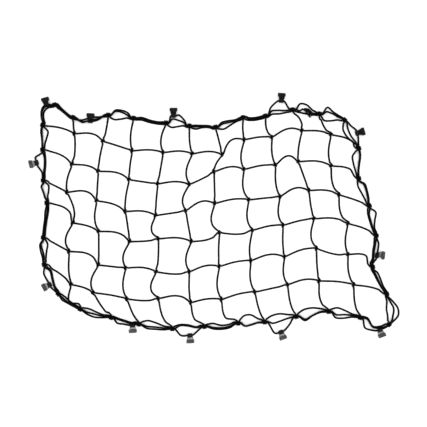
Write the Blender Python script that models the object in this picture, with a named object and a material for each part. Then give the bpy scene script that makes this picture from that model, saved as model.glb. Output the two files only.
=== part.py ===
"""Cargo net of black elastic cord, lying slack and flat.

The net is one knotted mesh of 12 lengthwise and 8 crosswise cords. A single
border cord runs twice round it through the edge knots and is tied to itself
at the far edge. Twelve moulded hooks hang on the border cord by their eyes.

+X runs along the far edge, +Y away from the near edge, +Z up. The net rests
on z = 0 and the origin is under the middle of its box. The tables are in
millimetres and degrees, and the meshes in metres.
"""

import math

import bmesh
import bpy
import numpy as np
from mathutils import Matrix, Vector

MM = 0.001
UP = Vector((0.0, 0.0, 1.0))

# The cord
CORD_RADIUS = 2.5
CORD_SIDES = 5
GAP = 0.3  # clear space between pieces that touch
BED = 2.8  # height of a cord's middle where it lies on the surface
CORD_STEP = 3.0  # spacing of the points along a smooth cord before thinning
CORD_TOLERANCE = 1.5  # how far a thinned cord may leave its smooth line
STACK = 2 * CORD_RADIUS + 1.8  # least spacing of the middles of two cords
DROP = 0.03  # how fast a cord falls away beside one it crosses, per millimetre

# A mesh knot
PORT_REACH = 7.0  # least distance from the knot's middle to where a cord leaves it
PORT_CLEARANCE = 0.4  # between the end of one cord's way out and its neighbours
ARRIVAL_SHIFT = (-2.8, 2.8)  # of the cords that come to it from the far left
PORT_HEIGHT = 3.2
PORT_SAMPLES = 5  # places along a cord's way out that keep the border cord off it
LEAST_TURN = math.radians(46)  # between two cords that leave one knot
EASING_ROUNDS = 20
CROSSED = 0.75  # of a full turn: a wider gap means that two cords are crossed
END_SHARE = 0.14  # of a cord's length, kept at each end for its way out of a knot
KNOT_TOP = (9.6, 3.4)  # height and radius of its crown
KNOT_FOOT_RADIUS = 4.0

# An edge knot: a hitch round both turns of the border cord
HITCH_MIDDLE = (1.0, 6.6)  # outward from the knot, and height
HITCH_RADII = (7.6, 7.65)
HITCH_HALF_LENGTH = 4.6
HITCH_SIDES = 6
SELVEDGE_INSET = 4.2  # how far inward the selvedge cord passes
MESH_INSET = 6.6  # how far inward the mesh cord begins
MESH_SLIDE = 4.8  # how far a mesh cord that comes in slantwise begins to that side
EDGE_REACH = 6.5  # least distance from there to where they leave the knot
EDGE_TURN = math.radians(40)  # between two cords that leave it
# How far a cord may swing from square as it leaves a hitch
INNER_SWING = math.radians(52)
OUTWARD_SWING = math.radians(4)
INWARD_SWING = math.radians(40)
CORNER_SWING = math.radians(55)
LOW_TURN = (3.0, 4.6)  # outward place and height of the first turn in a hitch
HIGH_TURN = (-0.6, 9.6)  # the same for the second turn, which lies on it
STRAIGHT = 8.6  # each side of a hitch, where the border cord is straight
SETTLE = 24.0  # further length in which it comes down to the surface
BORE_RADIUS = CORD_RADIUS + GAP + 0.2  # over the corners
BORE_REACH = STRAIGHT + 4.0

# Where the knots lie: a row for each crosswise cord, from the far edge to the
# near one, and a column for each lengthwise cord, from left to right.
KNOT_X = (
    (-528, -467, -350, -266, -158, -80, 7, 98, 173, 263, 352, 435),
    (-567, -462, -367, -270, -167, -70, 30, 103, 195, 295, 392, 482),
    (-567, -470, -383, -280, -185, -80, 2, 102, 207, 283, 392, 482),
    (-565, -487, -388, -293, -192, -92, 5, 118, 222, 318, 418, 517),
    (-553, -467, -382, -278, -183, -73, 20, 130, 232, 335, 448, 540),
    (-565, -480, -382, -292, -190, -80, 20, 125, 237, 343, 448, 528),
    (-562, -473, -400, -288, -183, -75, 27, 138, 247, 352, 467, 575),
    (-515, -443, -340, -248, -137, -30, 82, 170, 275, 383, 488, 583),
)
KNOT_Y = (
    (376, 334, 342, 332, 316, 306, 302, 334, 339, 360, 346, 326),
    (309, 281, 256, 224, 218, 214, 211, 261, 269, 291, 278, 232),
    (228, 179, 156, 128, 114, 112, 154, 162, 176, 188, 174, 132),
    (126, 86, 58, 22, 9, 24, 49, 61, 71, 92, 78, 41),
    (51, -16, -44, -78, -69, -78, -48, -41, -24, -2, -18, -58),
    (-64, -111, -156, -166, -179, -179, -161, -142, -129, -101, -121, -162),
    (-154, -221, -248, -269, -268, -281, -271, -246, -222, -209, -222, -252),
    (-251, -301, -329, -351, -366, -359, -348, -344, -326, -309, -329, -352),
)
COLUMNS = len(KNOT_X[0])
ROWS = len(KNOT_X)
BOX_MIDDLE = (1.13, 0.53)  # of the whole net and its hooks, in the tables' frame

# How far each stretch of mesh cord bows out between two knots.
# Crosswise cords 1 to 6, bowing towards the far edge; a column for each cell.
ROW_BOW = (
    (7, 15, 1, 7, 8, 10, 24, 5, 17, 7, 13),
    (11, 9, 12, 0, 9, -2, 13, 6, 25, 10, 17),
    (1, 20, 9, 9, 0, 18, 8, 1, 18, 9, 3),
    (23, 6, 15, -3, 9, -10, -9, 6, 4, 11, 7),
    (0, 19, 0, 9, -7, 11, 6, 14, 9, -7, 24),
    (6, 5, 3, -6, 17, 7, 6, 0, 11, 5, 8),
)
# Lengthwise cords 1 to 10, bowing to the left; a column for each cell.
COLUMN_BOW = (
    (2, -5, 8, -11, 18, 6, 27),
    (-2, 3, 1, 11, 0, 15, 5),
    (8, 3, 5, 0, 15, 12, 4),
    (12, 0, 2, 20, -3, 23, 13),
    (5, 15, 16, 1, 15, 4, 17),
    (0, 6, 0, 21, 3, 12, 24),
    (3, 11, 13, 13, 7, 10, 5),
    (9, 7, 8, 12, 4, 10, 7),
    (-10, 5, 0, 3, 15, 3, 15),
    (7, 9, 11, 13, 9, 9, 8),
)
BOW_LEAN = 1.25  # over 1 moves the fullest part of a bow towards the cord's end
BOW_POINTS = 9

# How far the three border strands lie outside the straight line between two
# edge knots, at a quarter, a half and three quarters of the way, clockwise
# from the far left corner. A row for each cell along the edge.
#   selvedge         second turn       first turn
SELVEDGE, SECOND, FIRST = range(3)
QUARTERS = (0.25, 0.5, 0.75)
BORDER = (
    ((-2, -3, -5), (1, -1, -3), (5, 2, 0)),  # far edge
    ((-9, -3, -3), (-16, -14, -8), (-17, -15, -10)),
    ((-11, -7, -1), (15, 16, 8), (20, 22, 16)),
    ((-1, -5, -6), (4, -1, -3), (7, 2, 0)),
    ((-11, -6, -1), (16, 15, 9), (28, 32, 18)),
    ((-8, -2, -1), (-1, 1, 1), (4, 4, 4)),
    ((-14, -9, -4), (3, 1, -2), (9, 7, 2)),
    ((-9, -10, -8), (-5, -6, -4), (-1, -2, 0)),
    ((2, -2, -3), (12, 10, 3), (24, 38, 22)),
    ((-4, -5, -5), (0, 6, -1), (25, 24, 9)),
    ((-16, -12, -4), (13, 12, 5), (29, 19, 11)),
    ((-17, -16, -6), (-1, -3, 0), (12, 19, 13)),  # right edge
    ((-19, -16, -9), (4, 1, -1), (7, 4, 1)),
    ((-10, -7, -4), (9, 9, 5), (14, 13, 9)),
    ((-9, -8, -6), (-6, -6, -4), (18, 9, 2)),
    ((-2, -3, -2), (1, -1, 0), (13, 10, 12)),
    ((-5, -5, -4), (-2, -3, -3), (7, 6, 3)),
    ((0, -3, -1), (10, 21, 16), (19, 35, 34)),
    ((14, 20, -3), (17, 22, 1), (27, 33, 31)),  # near edge
    ((-5, -12, -16), (-1, 2, 7), (5, 14, 17)),
    ((-13, -19, -17), (-3, 5, 14), (0, 7, 19)),
    ((-10, -17, -15), (2, 7, 10), (24, 42, 43)),
    ((-11, -24, -23), (1, 7, 11), (3, 9, 12)),
    ((2, 3, -6), (8, 11, 7), (13, 16, 12)),
    ((1, -7, -10), (2, -5, -8), (17, 27, 26)),
    ((-3, -10, -14), (3, 4, 5), (9, 11, 12)),
    ((2, 1, -1), (4, 3, 1), (9, 13, 15)),
    ((0, -3, -7), (3, 5, 5), (9, 15, 12)),
    ((0, 0, -3), (3, 4, 4), (6, 8, 11)),
    ((1, -4, -10), (2, -3, -8), (12, 16, 16)),  # left edge
    ((-5, -8, -12), (0, 5, 8), (6, 12, 13)),
    ((-3, -4, -6), (-2, -3, -4), (3, 3, 4)),
    ((-4, -10, -13), (3, 6, 9), (5, 8, 11)),
    ((-4, -7, -7), (-2, -5, -5), (5, 18, 26)),
    ((-6, -12, -16), (1, 2, 3), (3, 5, 7)),
    ((9, 20, 16), (14, 25, 22), (17, 29, 26)),
)

# Where the border cord is tied to itself: the cell along the far edge, the
# share of the way along it, and how far outside the line between its knots.
TIE_CELL, TIE_ALONG, TIE_OUT = 9, 0.47, 7.5
# The ways its two turns and its two loose ends leave the tie
TIE_TURNS = (math.radians(166), math.radians(14))
TIE_ENDS = (math.radians(-30), math.radians(-74))
TAIL_LENGTH = 20.0
TAIL_HEADING = math.radians(-50)

# A hook, seen from its side with its eye's middle at the origin
EYE_RADIUS = 6.2
EYE_HOLE_RADIUS = 4.0
EYE_SIDES = 10
EYE_FILLET_ANGLE = -10.0  # where the fillet between eye and shank begins
SHANK_THICKNESS = 3.0
SEAT_START, SEAT_END = 7.6, 15.0  # the shank's flat inner face, along the hook
CURL_MIDDLE = 20.0
CURL_SIDES = 6
LIP_END = 15.3
LIP_THICKNESS = 2.7
LIP_ROUND = 0.7
EYE_HALF_WIDTH = 7.4
FAN_HALF_WIDTH = 12.2
FAN_START, FAN_END = 7.6, 17.0  # where the hook widens, along it
HOOK_FLOOR = 0.2  # clear height under a hook
EYE_STRAIGHT = 8.2  # each side of an eye, where the cord is straight
EYE_ROOM = 8.0  # along the edge, from there to the next place on its way
EYE_SAMPLES = 5  # places across an eye that keep the second turn off it

CORD_COLOUR = (0.012, 0.012, 0.013)
CORD_ROUGHNESS = 0.85
HOOK_COLOUR = (0.03, 0.03, 0.032)
HOOK_ROUGHNESS = 0.45
SHARP_ANGLE = math.radians(50)

LIP_UP, BACK_UP = 0, 180
# Cell along the edge (counted as in BORDER), share of the way along it, how
# far outside the line between its knots, the way the hook points and how far
# it is rolled about its length.
HOOKS = (
    (35, 0.83, 23, 105, BACK_UP),
    (1, 0.48, -15, 87, BACK_UP),
    (4, 0.28, 28, 91, BACK_UP),
    (8, 0.68, 38, 86, BACK_UP),
    (11, 0.55, 19, 16, BACK_UP),
    (15, 0.62, 10, 0, 25),
    (18, 0.25, 25, -69, LIP_UP),
    (21, 0.55, 43, -70, LIP_UP),
    (24, 0.47, 27, -86, LIP_UP),
    (26, 0.215, 9, -86, LIP_UP),
    (29, 0.37, 14, 206, LIP_UP),
    (33, 0.58, 22, 194, LIP_UP),
)


def unit(vector):
    return vector / np.linalg.norm(vector)


def left_of(vector):
    """The plan direction a quarter turn anticlockwise from another."""
    return np.array((-vector[1], vector[0]))


def turned(angle):
    return np.array((math.cos(angle), math.sin(angle)))


def knot_place(column, row):
    return np.array((KNOT_X[row][column], KNOT_Y[row][column])) - BOX_MIDDLE


def edge_knots():
    """(column, row) of the edge knots, clockwise from the far left corner."""
    far = [(column, 0) for column in range(COLUMNS)]
    right = [(COLUMNS - 1, row) for row in range(1, ROWS)]
    near = [(column, ROWS - 1) for column in range(COLUMNS - 2, -1, -1)]
    left = [(0, row) for row in range(ROWS - 2, 0, -1)]
    return far + right + near + left


EDGE = edge_knots()


def edge_place(index):
    return knot_place(*EDGE[index % len(EDGE)])


def edge_heading(index):
    """The way the border runs through an edge knot."""
    here = edge_place(index)
    before = unit(here - edge_place(index - 1))
    after = unit(edge_place(index + 1) - here)
    return unit(before + after)


def beside(index, along, out):
    """A plan point beside the straight line from one edge knot to the next."""
    start = edge_place(index)
    chord = edge_place(index + 1) - start
    return start + along * chord + out * unit(left_of(chord))


def smooth_line(points):
    """A smooth line through the given points, and each one's place in it."""
    points = np.asarray(points, dtype=float)
    ends = (2 * points[0] - points[1], 2 * points[-1] - points[-2])
    padded = np.vstack((ends[0], points, ends[1]))
    line, marks = [points[0]], [0]
    for a, b, c, d in zip(padded, padded[1:], padded[2:], padded[3:]):
        lengths = [np.linalg.norm(q - p) for p, q in ((a, b), (b, c), (c, d))]
        t0, t1, t2, t3 = np.cumsum([0.0] + [length**0.5 for length in lengths])
        steps = max(1, math.ceil(lengths[1] / CORD_STEP))
        for t in np.linspace(t1, t2, steps + 1)[1:]:
            ab = ((t1 - t) * a + (t - t0) * b) / (t1 - t0)
            bc = ((t2 - t) * b + (t - t1) * c) / (t2 - t1)
            cd = ((t3 - t) * c + (t - t2) * d) / (t3 - t2)
            abc = ((t2 - t) * ab + (t - t0) * bc) / (t2 - t0)
            bcd = ((t3 - t) * bc + (t - t1) * cd) / (t3 - t1)
            line.append(((t2 - t) * abc + (t - t1) * bcd) / (t2 - t1))
        marks.append(len(line) - 1)
    return np.array(line), marks


def thinned(line, tolerance=CORD_TOLERANCE):
    """The few points of a line that keep it within a tolerance of its course."""
    start, end = line[0], line[-1]
    chord = end - start
    share = np.clip((line - start) @ chord / max(chord @ chord, 1e-9), 0, 1)
    off = np.linalg.norm(line - start - share[:, None] * chord, axis=1)
    worst = int(off.argmax())
    if off[worst] <= tolerance:
        return [start, end]
    return thinned(line[: worst + 1], tolerance)[:-1] + thinned(line[worst:], tolerance)


def new_object(name, mesh_builder, material):
    """A mesh object from a builder that works in millimetres."""
    bm = bmesh.new()
    mesh_builder(bm)
    bmesh.ops.recalc_face_normals(bm, faces=bm.faces)
    bmesh.ops.scale(bm, vec=(MM, MM, MM), verts=bm.verts)
    mesh = bpy.data.meshes.new(name)
    bm.to_mesh(mesh)
    bm.free()
    mesh.shade_smooth()
    mesh.set_sharp_from_angle(angle=SHARP_ANGLE)
    mesh.materials.append(material)
    obj = bpy.data.objects.new(name, mesh)
    bpy.context.scene.collection.objects.link(obj)
    return obj


def add_ring(bm, centre, heading, radius=CORD_RADIUS):
    """One section of a cord, square to its heading, with a flat side under it."""
    heading = Vector(heading).normalized()
    side = UP.cross(heading).normalized()
    above = heading.cross(side)
    ring = []
    for corner in range(CORD_SIDES):
        angle = math.tau * (corner + 0.5) / CORD_SIDES - math.pi / 2
        place = Vector(centre) + radius * (math.cos(angle) * side + math.sin(angle) * above)
        ring.append(bm.verts.new(place))
    return ring


def skin(bm, rings):
    """The side faces of a cord between its sections."""
    for ring, following in zip(rings, rings[1:]):
        for corner in range(CORD_SIDES):
            after = (corner + 1) % CORD_SIDES
            bm.faces.new((ring[corner], ring[after], following[after], following[corner]))


def middle_headings(points):
    """The heading of a cord at each of its inner points."""
    headings = []
    for before, here, after in zip(points, points[1:], points[2:]):
        headings.append(unit(unit(here - before) + unit(after - here)))
    return headings


def add_knot_body(bm, corners, ports):
    """The hull of a knot's corners and cord ends, left open at the cords."""
    own = [bm.verts.new(corner) for corner in corners]
    verts = own + [vert for ring in ports for vert in ring]
    hull = bmesh.ops.convex_hull(bm, input=verts, use_existing_faces=False)
    faces = [item for item in hull["geom"] if isinstance(item, bmesh.types.BMFace)]
    caps = [face for face in faces if any(set(face.verts) <= set(ring) for ring in ports)]
    edges = {edge for face in caps for edge in face.edges}
    bmesh.ops.delete(bm, geom=caps, context="FACES_ONLY")
    bmesh.ops.delete(bm, geom=[edge for edge in edges if not edge.link_faces], context="EDGES")
    bmesh.ops.delete(bm, geom=[vert for vert in own if not vert.link_faces], context="VERTS")


def spread(angles, least, limits=()):
    """Angles eased apart until neighbours are so far from each other.

    A limit is an angle and the least and the most swing from it. Where there
    are limits, the angles keep to their order.
    """
    angles = list(angles)
    ranks = [square for square, _, _ in limits] or angles
    order = sorted(range(len(angles)), key=lambda item: ranks[item] % math.tau)
    for _ in range(EASING_ROUNDS):
        for first, second in zip(order, order[1:] + order[:1]):
            gap = (angles[second] - angles[first]) % math.tau
            if gap > math.tau * CROSSED:
                gap -= math.tau
            if gap < least:
                angles[first] -= (least - gap) / 2
                angles[second] += (least - gap) / 2
        for number, (square, low, high) in enumerate(limits):
            swing = (angles[number] - square + math.pi) % math.tau - math.pi
            angles[number] = square + min(max(swing, low), high)
    return angles


def bowed(start, end, bow):
    """Plan points of a mesh cord that bows to the left of its chord."""
    chord = end - start
    side = unit(left_of(chord))
    points = []
    for share in np.linspace(0, 1, BOW_POINTS):
        leaned = share**BOW_LEAN
        points.append(start + share * chord + 4 * bow * leaned * (1 - leaned) * side)
    return points


def mesh_cords():
    """(first knot, second knot, plan points) of each stretch inside the edge."""
    cords = []
    for row in range(1, ROWS - 1):
        for column in range(COLUMNS - 1):
            start, end = (column, row), (column + 1, row)
            bow = ROW_BOW[row - 1][column]
            cords.append((start, end, bowed(knot_place(*start), knot_place(*end), bow)))
    for column in range(1, COLUMNS - 1):
        for row in range(ROWS - 1):
            start, end = (column, row), (column, row + 1)
            bow = -COLUMN_BOW[column - 1][row]
            cords.append((start, end, bowed(knot_place(*start), knot_place(*end), bow)))
    return cords


def selvedge_cords():
    """(first knot, second knot, plan points) of each stretch along the edge."""
    cords = []
    for index, start in enumerate(EDGE):
        end = EDGE[(index + 1) % len(EDGE)]
        strand = zip(QUARTERS, BORDER[index][SELVEDGE])
        inner = [beside(index, share, out) for share, out in strand]
        cords.append((start, end, [knot_place(*start)] + inner + [knot_place(*end)]))
    return cords


def crown_and_foot(place, angle):
    """The corners of a mesh knot's flat foot and of its raised crown."""
    points = []
    for side in range(4):
        spoke = turned(angle + side * math.pi / 2)
        points.append((*(place + KNOT_TOP[1] * spoke), KNOT_TOP[0]))
        points.append((*(place + KNOT_FOOT_RADIUS * spoke), 0.0))
    return points


class Knot:
    """A knot of the net and the directions in which its cords leave it."""

    def __init__(self, name):
        self.place = knot_place(*name)
        self.on_edge = name in EDGE
        if self.on_edge:
            self.heading = edge_heading(EDGE.index(name))
            self.out = left_of(self.heading)
        self.roots = []
        self.angles = []
        self.kinds = []
        self.reaches = []
        self.rings = []

    def root(self, towards, kind, arriving):
        """Where in the knot a cord that leaves towards a plan point begins."""
        if not self.on_edge:
            return self.place + ARRIVAL_SHIFT if arriving else self.place
        if kind != "mesh":
            return self.place - SELVEDGE_INSET * self.out
        slant = unit(towards - self.place) @ self.heading if arriving else 0.0
        return self.place - MESH_INSET * self.out + slant * MESH_SLIDE * self.heading

    def add_port(self, towards, kind, arriving):
        """Notes a cord that leaves towards a plan point, and returns its number."""
        root = self.root(towards, kind, arriving)
        aim = towards - root
        self.roots.append(root)
        self.angles.append(math.atan2(aim[1], aim[0]))
        self.kinds.append(kind)
        self.reaches.append(EDGE_REACH if self.on_edge else PORT_REACH)
        return len(self.angles) - 1

    def settle_angles(self):
        """Turns the ports so that no cord crowds another."""
        if not self.on_edge:
            self.angles = spread(self.angles, LEAST_TURN)
            return
        ahead = math.atan2(self.heading[1], self.heading[0])
        inward = INWARD_SWING if "mesh" in self.kinds else CORNER_SWING
        swings = {
            "mesh": (ahead - math.pi / 2, -INNER_SWING, INNER_SWING),
            "after": (ahead, -inward, OUTWARD_SWING),
            "before": (ahead + math.pi, -OUTWARD_SWING, inward),
        }
        self.angles = spread(self.angles, EDGE_TURN, [swings[kind] for kind in self.kinds])

    def settle_reaches(self):
        """Moves each port outward until the others lie behind its end."""
        numbers = range(len(self.angles))
        for _ in range(EASING_ROUNDS):
            for number in numbers:
                root, way = self.roots[number], turned(self.angles[number])
                for other in numbers:
                    if other == number:
                        continue
                    place, heading = self.port(other)
                    wide = CORD_RADIUS * abs(left_of(heading) @ way)
                    least = (place - root) @ way + wide + PORT_CLEARANCE
                    self.reaches[number] = max(self.reaches[number], least)

    def port(self, number):
        """The plan place and direction of one port."""
        direction = turned(self.angles[number])
        return self.roots[number] + self.reaches[number] * direction, direction

    def corners(self):
        """The points that fill out the knot's body between its cords."""
        if not self.on_edge:
            middle = self.place + np.array(ARRIVAL_SHIFT) / 2
            return crown_and_foot(middle, sum(self.angles) / len(self.angles))
        points = []
        for end in (-1, 1):
            for side in range(HITCH_SIDES):
                angle = math.tau * side / HITCH_SIDES
                out = HITCH_MIDDLE[0] + HITCH_RADII[0] * math.cos(angle)
                height = HITCH_MIDDLE[1] + HITCH_RADII[1] * math.sin(angle)
                plan = self.place + out * self.out + end * HITCH_HALF_LENGTH * self.heading
                points.append((*plan, max(height, 0.0)))
        return points


def add_ports(knots, cords, kinds, skipped):
    """Notes where each cord leaves its knots: (knot, port, knot, port, plan points).

    Its plan points nearest to a knot are skipped when its way out is found.
    """
    ported = []
    for start, end, plan in cords:
        first = knots[start].add_port(plan[1 + skipped], kinds[0], arriving=False)
        last = knots[end].add_port(plan[-2 - skipped], kinds[1], arriving=True)
        ported.append((start, first, end, last, plan))
    return ported


def net_line(first_port, last_port, plan):
    """The smooth line of a cord from its port in one knot to its port in the next."""
    place_a, way_a = first_port
    place_b, way_b = last_port
    chord = place_b - place_a
    inner = []
    for point in plan[1:-1]:
        share = (point - place_a) @ chord / (chord @ chord)
        if END_SHARE < share < 1 - END_SHARE:
            inner.append((*point, BED))
    head = (*(place_a + CORD_RADIUS * way_a), PORT_HEIGHT)
    tail = (*(place_b + CORD_RADIUS * way_b), PORT_HEIGHT)
    controls = [(*place_a, PORT_HEIGHT), head, *inner, tail, (*place_b, PORT_HEIGHT)]
    return smooth_line(controls)[0]


def net_lines():
    """The knots, and each cord as (knot, port, knot, port, smooth points)."""
    knots = {(column, row): Knot((column, row)) for column in range(COLUMNS) for row in range(ROWS)}
    cords = add_ports(knots, mesh_cords(), ("mesh", "mesh"), skipped=1)
    cords += add_ports(knots, selvedge_cords(), ("after", "before"), skipped=0)
    for knot in knots.values():
        knot.settle_angles()
        knot.settle_reaches()
    lines = []
    for start, first, end, last, plan in cords:
        line = net_line(knots[start].port(first), knots[end].port(last), plan)
        lines.append((start, first, end, last, line))
    return knots, lines


def build_net(bm):
    """The whole mesh with its selvedge and knots, as one body."""
    knots, lines = net_lines()
    for start, first, end, last, line in lines:
        way_out = (*knots[start].port(first)[1], 0.0)
        way_in = (*-knots[end].port(last)[1], 0.0)
        first_ring, last_ring = add_cord(bm, thinned(line), way_out, way_in)
        knots[start].rings.append(first_ring)
        knots[end].rings.append(last_ring)
    for knot in knots.values():
        add_knot_body(bm, knot.corners(), knot.rings)


def hook_pose(index, along, out, heading, roll):
    """A hook's matrix, in millimetres, with its lowest corner above the floor."""
    plan = beside(index, along, out)
    turn = Matrix.Rotation(math.radians(heading), 4, "Z") @ Matrix.Rotation(math.radians(roll), 4, "X")
    lowest = min((turn @ Vector(corner)).z for corner in hook_corners())
    return Matrix.Translation((*plan, HOOK_FLOOR - lowest)) @ turn


def arc(middle, radius, first, last, steps):
    """Points on an arc in a hook's side view, between two angles in degrees."""
    angles = np.radians(np.linspace(first, last, steps + 1))
    return [(middle[0] + radius * math.cos(a), middle[1] + radius * math.sin(a)) for a in angles]


def hook_outline():
    """A hook's side view: along the hook, and height above its eye's middle."""
    shank_top = SHANK_THICKNESS - EYE_RADIUS
    throat_radius = EYE_RADIUS - LIP_THICKNESS
    curl = (CURL_MIDDLE, 0.0)
    outline = arc((0.0, 0.0), EYE_RADIUS, 270, EYE_FILLET_ANGLE, EYE_SIDES - 2)
    outline += [(SEAT_START, shank_top), (SEAT_END, shank_top)]
    outline += arc(curl, throat_radius, -90, 90, CURL_SIDES - 2)
    outline += [(LIP_END + LIP_ROUND, throat_radius)]
    outline += [(LIP_END, EYE_RADIUS - LIP_THICKNESS / 2)]
    outline += [(LIP_END + LIP_ROUND, EYE_RADIUS)]
    outline += arc(curl, EYE_RADIUS, 90, -90, CURL_SIDES)
    outline += [(FAN_START, -EYE_RADIUS)]
    return outline


def half_width(along):
    """Half the hook's width at a distance from its eye."""
    share = min(max((along - FAN_START) / (FAN_END - FAN_START), 0.0), 1.0)
    return EYE_HALF_WIDTH + share * (FAN_HALF_WIDTH - EYE_HALF_WIDTH)


def hook_corners():
    corners = []
    for along, height in hook_outline():
        for side in (-1, 1):
            corners.append((along, side * half_width(along), height))
    return corners


def hook_builder(pose):
    """A builder for one hook: its side view and the eye's hole, widened like a fan."""

    def build(bm):
        outline = hook_outline()
        hole = arc((0.0, 0.0), EYE_HOLE_RADIUS, 0, 360 - 360 / EYE_SIDES, EYE_SIDES - 1)
        edges = []
        for loop in (outline, hole):
            verts = [bm.verts.new((along, -1.0, height)) for along, height in loop]
            edges += [bm.edges.new(pair) for pair in zip(verts, verts[1:] + verts[:1])]
        side = bmesh.ops.triangle_fill(bm, edges=edges, use_beauty=True)["geom"]
        faces = [item for item in side if isinstance(item, bmesh.types.BMFace)]
        far = bmesh.ops.extrude_face_region(bm, geom=faces)["geom"]
        far = [item for item in far if isinstance(item, bmesh.types.BMVert)]
        bmesh.ops.translate(bm, verts=far, vec=(0.0, 2.0, 0.0))
        for vert in bm.verts:
            vert.co.y *= half_width(vert.co.x)
        bmesh.ops.transform(bm, matrix=pose, verts=bm.verts)

    return build


def hook_poses():
    """For each cell that has a hook: its matrix."""
    return {hook[0]: hook_pose(*hook) for hook in HOOKS}


def cell_controls(index, column, turn, pose=None):
    """Control points of one turn of the border cord along one cell.

    Each is (share of the way, plan point, height or None). Heights come in
    pairs, one for each end of a straight stretch through a hitch or an eye.
    """
    heading = edge_heading(index)
    middle = edge_place(index) + turn[0] * left_of(heading)
    controls = [(0.0, middle + along * heading, turn[1]) for along in (-STRAIGHT, STRAIGHT)]
    strand = []
    for share, out in zip(QUARTERS, BORDER[index][column]):
        strand.append((share, beside(index, share, out), None))
    if pose is None:
        return controls + strand
    chord = edge_place(index + 1) - edge_place(index)
    eye, axis = np.array(pose.translation), np.array(pose.col[1][:3])
    if axis[:2] @ chord < 0:
        axis = -axis
    through = []
    for along in (-EYE_STRAIGHT, EYE_STRAIGHT):
        end = eye + along * axis
        share = (end[:2] - edge_place(index)) @ chord / (chord @ chord)
        through.append((share, end[:2], end[2]))
    room = EYE_ROOM / np.linalg.norm(chord)
    before = [item for item in strand if item[0] < through[0][0] - room]
    after = [item for item in strand if item[0] > through[1][0] + room]
    return controls + before + through + after


def heights_along(line, marks, controls, obstacles):
    """How high a cord lies at each point of its plan line.

    It lies on the surface or on the cords below it, and rises to the fixed
    heights of its controls.
    """
    run = np.concatenate(([0.0], np.cumsum(np.linalg.norm(np.diff(line, axis=0), axis=1))))
    apart = np.linalg.norm(line[:, None, :] - obstacles[None, :, :2], axis=2)
    room = np.maximum(obstacles[:, 3] ** 2 - apart**2, 0.0)
    need = np.where(room > 0, obstacles[:, 2] + np.sqrt(room), BED).max(axis=1)
    away = np.abs(run[:, None] - run[None, :])
    heights = np.maximum((need[None, :] - DROP * away**2).max(axis=1), BED)
    for mark, (_, _, height) in zip(marks, controls):
        if height is not None:
            fall = np.clip((away[mark] - STRAIGHT / 2) / SETTLE, 0.0, 1.0)
            eased = 0.5 + 0.5 * np.cos(math.pi * fall)
            heights = np.maximum(heights, BED + (height - BED) * eased)
    for mark, (_, _, height) in zip(marks, controls):
        if height is not None:
            heights[mark] = height
    return heights


def turn_line(controls, obstacles):
    """The smooth line of one turn, and the marks of its straight stretches."""
    plan, marks = smooth_line([point for _, point, _ in controls])
    line = np.column_stack((plan, heights_along(plan, marks, controls, obstacles)))
    held = [mark for mark, (_, _, height) in zip(marks, controls) if height is not None]
    return line, held


def thinned_turn(line, held):
    """A turn's points: few where it is free, and only the ends where straight."""
    straight_from = set(held[0::2])
    stops = sorted({0, *held, len(line) - 1})
    points = [line[0]]
    for start, end in zip(stops, stops[1:]):
        straight = start in straight_from
        stretch = [line[start], line[end]] if straight else thinned(line[start : end + 1])
        points += stretch[1:]
    return points


def tie_port(angle):
    """Where a cord leaves the tie, and the next point on its way."""
    middle = beside(TIE_CELL, TIE_ALONG, TIE_OUT)
    return [middle + reach * turned(angle) for reach in (PORT_REACH, PORT_REACH + CORD_RADIUS)]


def net_obstacles():
    """The net's cords as rows of (x, y, height, least spacing)."""
    knots, cords = net_lines()
    lines = []
    for start, first, end, last, line in cords:
        ways = [(knots[start].roots[first], line[0]), (knots[end].roots[last], line[-1])]
        lines += [np.linspace((*root, PORT_HEIGHT), port, PORT_SAMPLES) for root, port in ways]
        lines.append(line)
    return np.vstack([np.column_stack((line, np.full(len(line), STACK))) for line in lines])


def border_points():
    """The border cord's points, twice round from one side of its tie to the other."""
    poses = hook_poses()
    cells = [(TIE_CELL + step) % len(EDGE) for step in range(1, len(EDGE))]
    left, right = TIE_TURNS

    high = [(0.0, point, None) for point in tie_port(right)]
    high += cell_controls(TIE_CELL, SECOND, HIGH_TURN)[-1:]
    for cell in cells:
        high += cell_controls(cell, SECOND, HIGH_TURN)
    high += cell_controls(TIE_CELL, FIRST, HIGH_TURN)
    high += cell_controls(TIE_CELL + 1, FIRST, LOW_TURN)[:2]
    low = []
    for cell in cells:
        low += cell_controls(cell, FIRST, LOW_TURN, poses.get(cell))
    low += cell_controls(TIE_CELL, SECOND, LOW_TURN)[:3]
    low += [(1.0, point, None) for point in reversed(tie_port(left))]

    net = net_obstacles()
    eyes = []
    for pose in poses.values():
        for along in np.linspace(-EYE_HALF_WIDTH, EYE_HALF_WIDTH, EYE_SAMPLES):
            eyes.append((*(pose @ Vector((0.0, along, 0.0))), EYE_RADIUS + STACK / 2))
    low_line, low_held = turn_line(low, net)
    below = np.column_stack((low_line, np.full(len(low_line), STACK)))
    high_line, high_held = turn_line(high, np.vstack((net, below, eyes)))
    return thinned_turn(high_line, high_held) + thinned_turn(low_line, low_held)[2:]


def add_cord(bm, points, first_heading, last_heading):
    """A cord's skin through some points, and its two open end sections."""
    headings = [first_heading] + middle_headings(points) + [last_heading]
    rings = [add_ring(bm, point, heading) for point, heading in zip(points, headings)]
    skin(bm, rings)
    return rings[0], rings[-1]


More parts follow.
